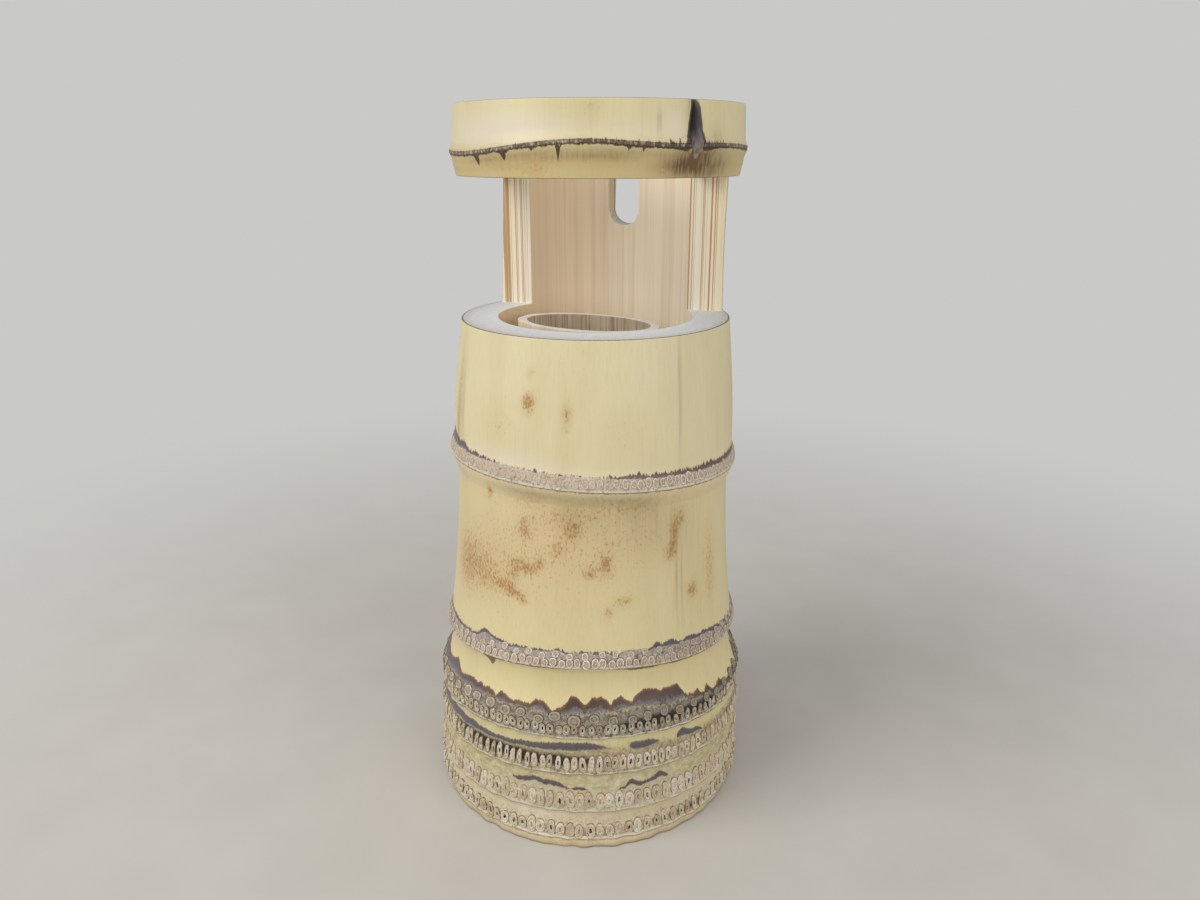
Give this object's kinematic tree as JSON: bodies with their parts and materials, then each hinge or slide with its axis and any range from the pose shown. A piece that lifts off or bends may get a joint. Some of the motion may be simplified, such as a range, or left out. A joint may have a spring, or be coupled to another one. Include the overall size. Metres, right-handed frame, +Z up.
{
  "type": "bamboo vase",
  "caption": "Free-standing or wall-hung flower vase carved from a root-end bamboo culm, with a window under a top ring, a back pillar with a nail hole, and a loose inner water tube.",
  "frame": {"origin": "centre of the sawn foot, on the surface that the vase stands on", "axes": "+Z up along the vase, -Y out of the open front of the window, +Y towards the back pillar, +X to the right seen from the front"},
  "size_m": [0.1258, 0.1265, 0.26],
  "materials": {
    "culm_bamboo": "dried yellow bamboo skin, smooth and slightly waxy, with sawn pale end grain",
    "shaved_bamboo": "shaved bamboo, matt, with fine lengthwise fibres"
  },
  "bodies": {
    "culm": {"culm_body": "culm_bamboo"},
    "water_tube": {"inner_tube": "shaved_bamboo"}
  },
  "joints": [
    {"name": "tube_lift", "type": "slide", "parent": "culm", "child": "water_tube", "axis": [0, 0, 1], "range_m": [0, 0.19]}
  ]
}
